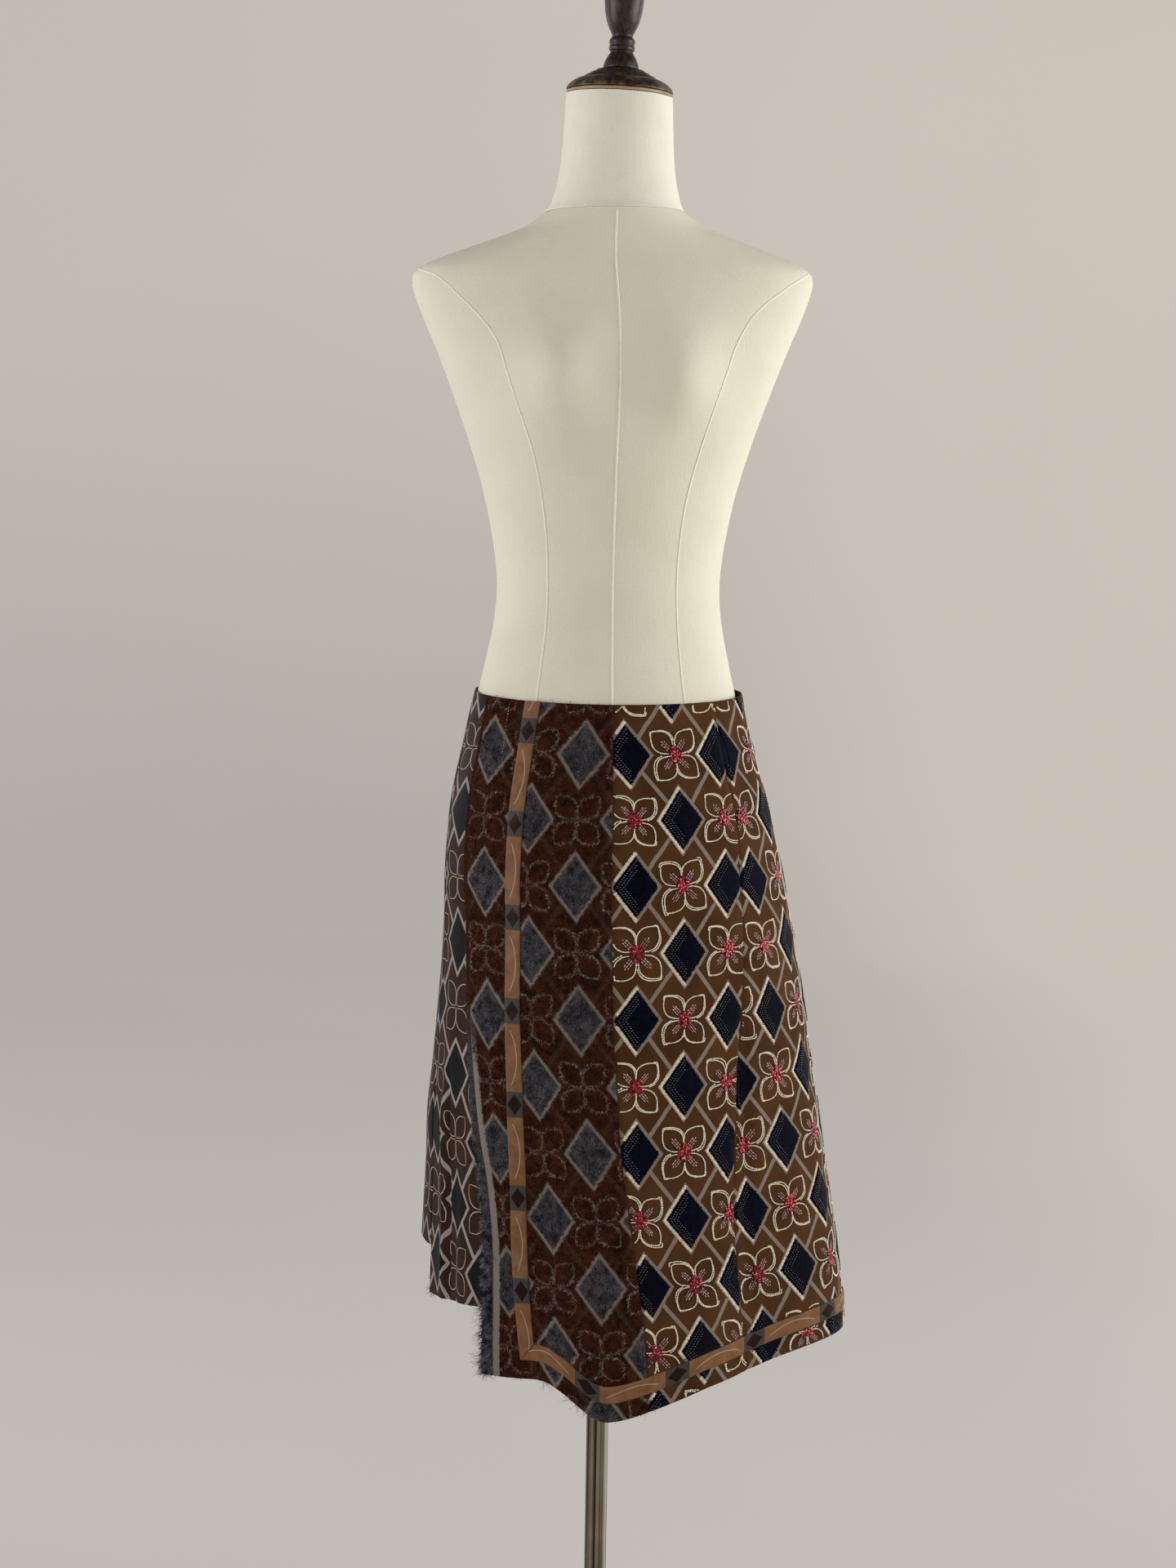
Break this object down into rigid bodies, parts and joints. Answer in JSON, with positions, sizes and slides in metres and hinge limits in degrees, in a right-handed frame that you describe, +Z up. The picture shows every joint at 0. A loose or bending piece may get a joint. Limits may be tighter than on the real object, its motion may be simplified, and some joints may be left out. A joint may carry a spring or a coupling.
{
  "type": "lapped midi skirt on a limbless dress form",
  "caption": "Lapped midi skirt with a pointed, uneven hem and a satin band, in pile, wool and satin panels, worn by a limbless dress form on a pole stand.",
  "frame": {"origin": "centre of the stand's base on the floor", "axes": "+Z up; the skirt's centre front faces -Y; +X is to the right as it is seen from the front"},
  "size_m": [0.4426, 0.3741, 1.6725],
  "materials": {
    "brown_pile": "dark brown short pile cloth with a tone-on-tone trellis",
    "grey_pile": "grey-blue longer pile, raw edge",
    "embroidered_wool": "brown wool, embroidered and sequinned",
    "printed_satin": "dark printed satin",
    "satin_band": "peach and grey satin",
    "canvas": "ivory woven cotton, matt",
    "dark_wood": "turned wood, dark stain, satin lacquer",
    "steel": "brushed"
  },
  "bodies": {
    "root": {"side_pile_edge": "grey_pile", "front_lap_panel": "brown_pile", "front_right_panel": "embroidered_wool", "side_right_panel": "embroidered_wool", "back_right_panel": "printed_satin", "back_left_panel": "printed_satin", "side_left_panel": "printed_satin", "lap_band": "satin_band", "hem_band": "satin_band", "form_torso": "canvas", "form_neck": "canvas", "neck_cap": "dark_wood", "finial": "dark_wood", "base": "steel", "pole": "steel", "pole_flange": "steel"}
  },
  "joints": []
}
